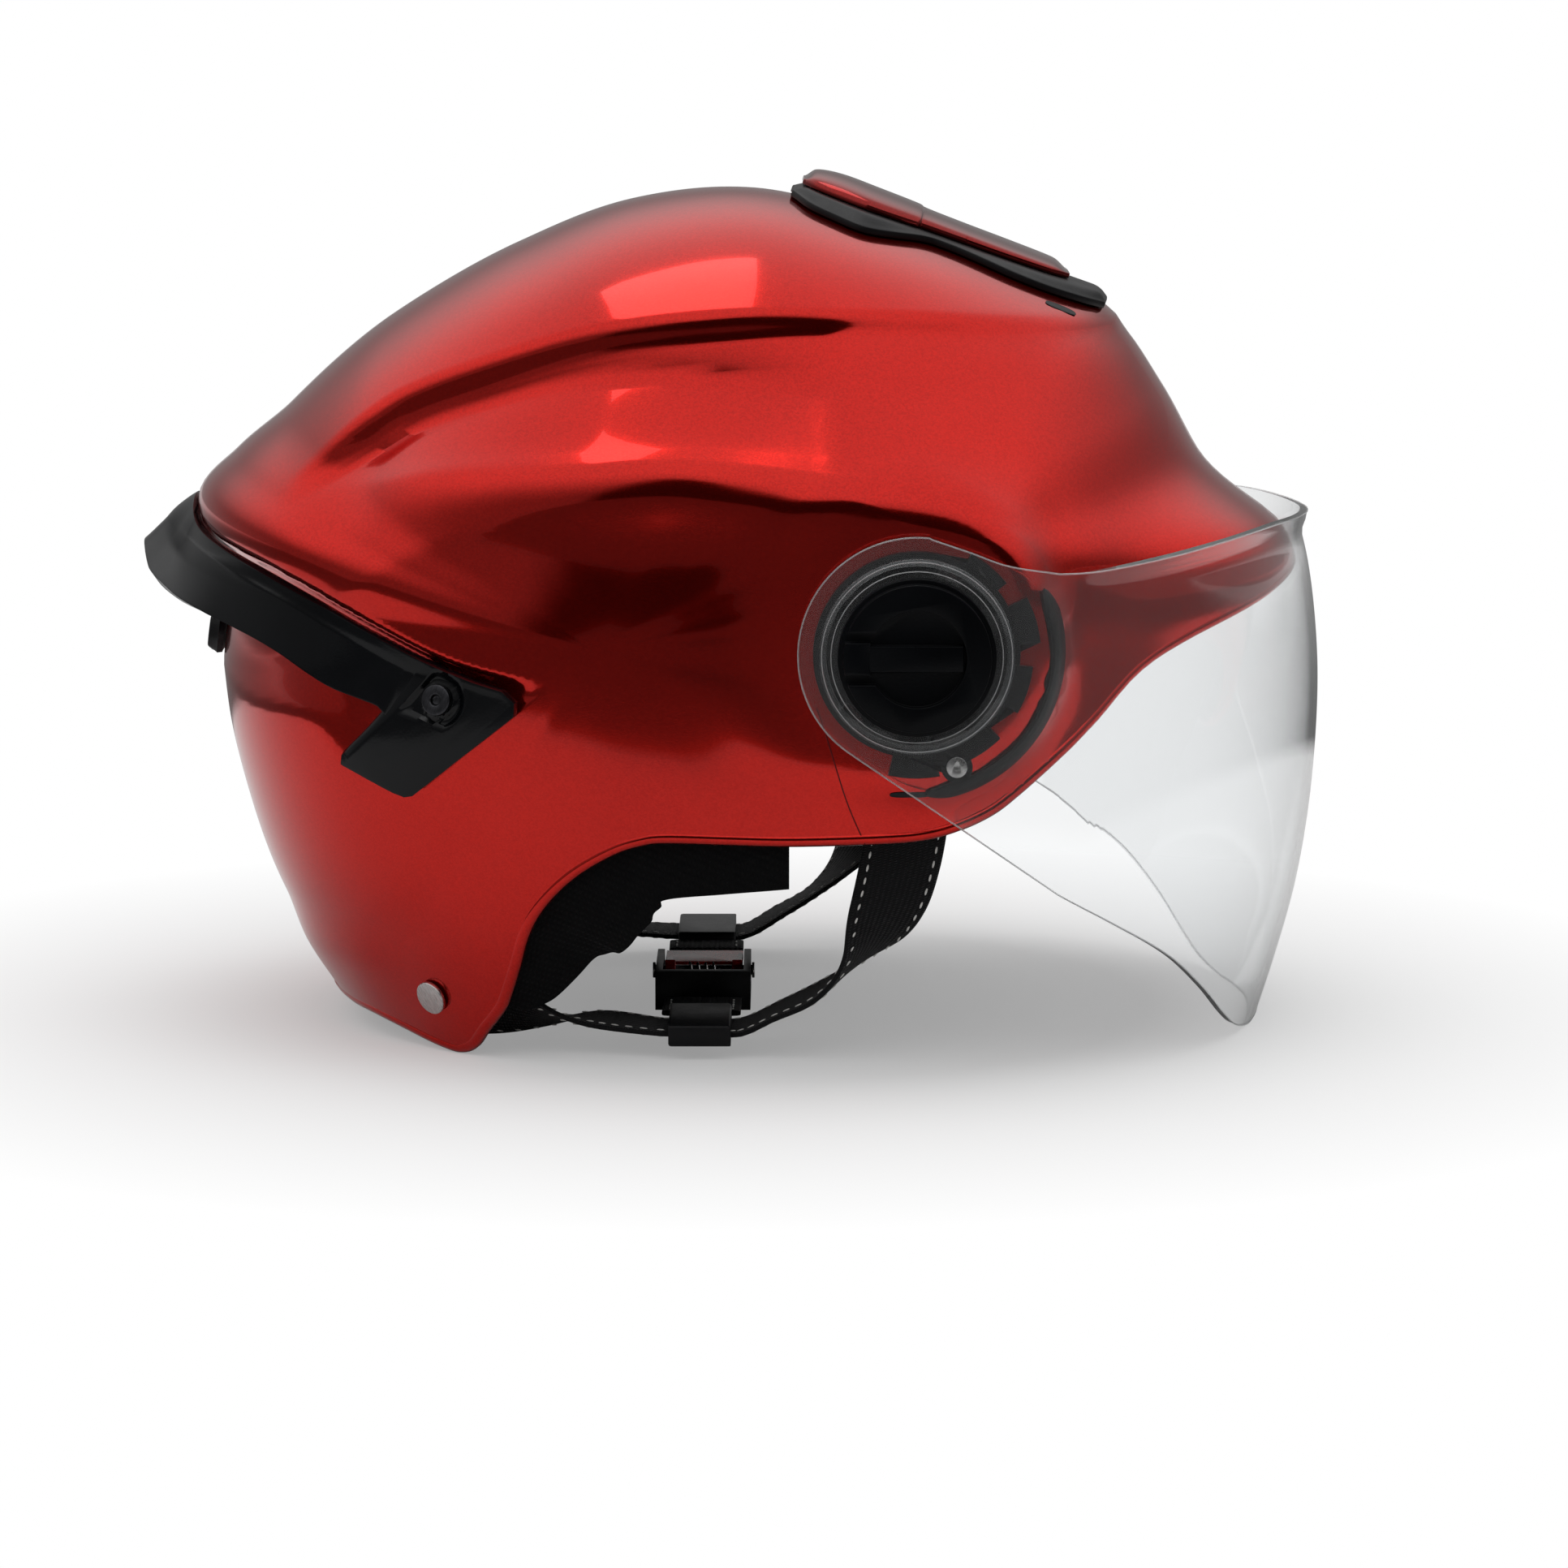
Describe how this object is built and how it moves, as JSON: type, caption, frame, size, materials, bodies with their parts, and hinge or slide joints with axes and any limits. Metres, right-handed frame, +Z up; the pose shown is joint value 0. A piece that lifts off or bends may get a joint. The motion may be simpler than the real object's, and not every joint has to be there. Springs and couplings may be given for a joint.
{
  "type": "motorcycle helmet",
  "caption": "Open-face motorcycle helmet: glossy crested shell with foam and pads, a clear visor that swings up on side pivots, a rear wing, a sliding top intake and a buckled chin strap.",
  "frame": {"origin": "middle of the bounding box on the floor that the helmet stands on", "axes": "+X forward out of the face, +Y to the wearer's left, +Z up"},
  "size_m": [0.3344, 0.2474, 0.2382],
  "materials": {
    "candy_red": "candy red lacquer with fine metal flake over a moulded shell",
    "red_plastic": "moulded red plastic",
    "impact_foam": "expanded bead foam, dark grey",
    "lining_cloth": "black brushed lining cloth",
    "gloss_black": "gloss black moulding",
    "satin_black": "satin black moulding",
    "clear_sheet": "clear hard-coated polycarbonate",
    "dark_screw": "blackened steel",
    "webbing": "woven black webbing",
    "bright_steel": "plated steel"
  },
  "bodies": {
    "helmet": {"outer_shell": "candy_red", "foam_liner": "impact_foam", "crown_pad": "lining_cloth", "brow_pad": "lining_cloth", "ear_pad_right": "lining_cloth", "ear_pad_left": "lining_cloth", "neck_pad": "lining_cloth", "rear_wing": "gloss_black", "wing_screws": "dark_screw", "wing_nuts": "bright_steel", "rear_exhaust": "satin_black", "intake_frame": "satin_black", "pivot_plate_right": "satin_black", "pivot_plate_left": "satin_black", "pivot_screws": "bright_steel", "pivot_nuts": "bright_steel", "plate_screws": "bright_steel", "anchor_plates": "bright_steel", "strap_right": "webbing", "strap_left": "webbing", "rear_rivets": "bright_steel", "rear_washers": "bright_steel", "strap_slider_right": "satin_black", "strap_slider_left": "satin_black", "chin_strap_right": "webbing", "chin_strap_left": "webbing", "buckle_body": "satin_black", "buckle_tongue": "bright_steel", "buckle_pin": "bright_steel", "buckle_spring": "bright_steel"},
    "visor": {"visor": "clear_sheet", "visor_collar_right": "clear_sheet", "visor_collar_left": "clear_sheet"},
    "cap_right": {"pivot_cap_right": "gloss_black"},
    "cap_left": {"pivot_cap_left": "gloss_black"},
    "cover": {"intake_cover": "candy_red"},
    "lever": {"buckle_lever": "red_plastic"}
  },
  "joints": [
    {"name": "visor_hinge", "type": "hinge", "parent": "helmet", "child": "visor", "pos_m": [0.0502, 0, 0.114], "axis": [0, -1, 0], "range_deg": [0, 55]},
    {"name": "cap_right_twist", "type": "hinge", "parent": "helmet", "child": "cap_right", "pos_m": [0.0502, -0.12, 0.114], "axis": [0, -1, 0], "range_deg": [0, 40]},
    {"name": "cap_left_twist", "type": "hinge", "parent": "helmet", "child": "cap_left", "pos_m": [0.0502, 0.12, 0.114], "axis": [0, -1, 0], "range_deg": [0, 40]},
    {"name": "intake_slide", "type": "slide", "parent": "helmet", "child": "cover", "axis": [-0.9412, 0, 0.3379], "range_m": [0, 0.008]},
    {"name": "lever_lift", "type": "hinge", "parent": "helmet", "child": "lever", "pos_m": [-0.008, -0.006, 0.01], "axis": [1, 0, 0], "range_deg": [0, 30], "stiffness_Nm_per_rad": 0.03, "springref_deg": -11.46}
  ]
}
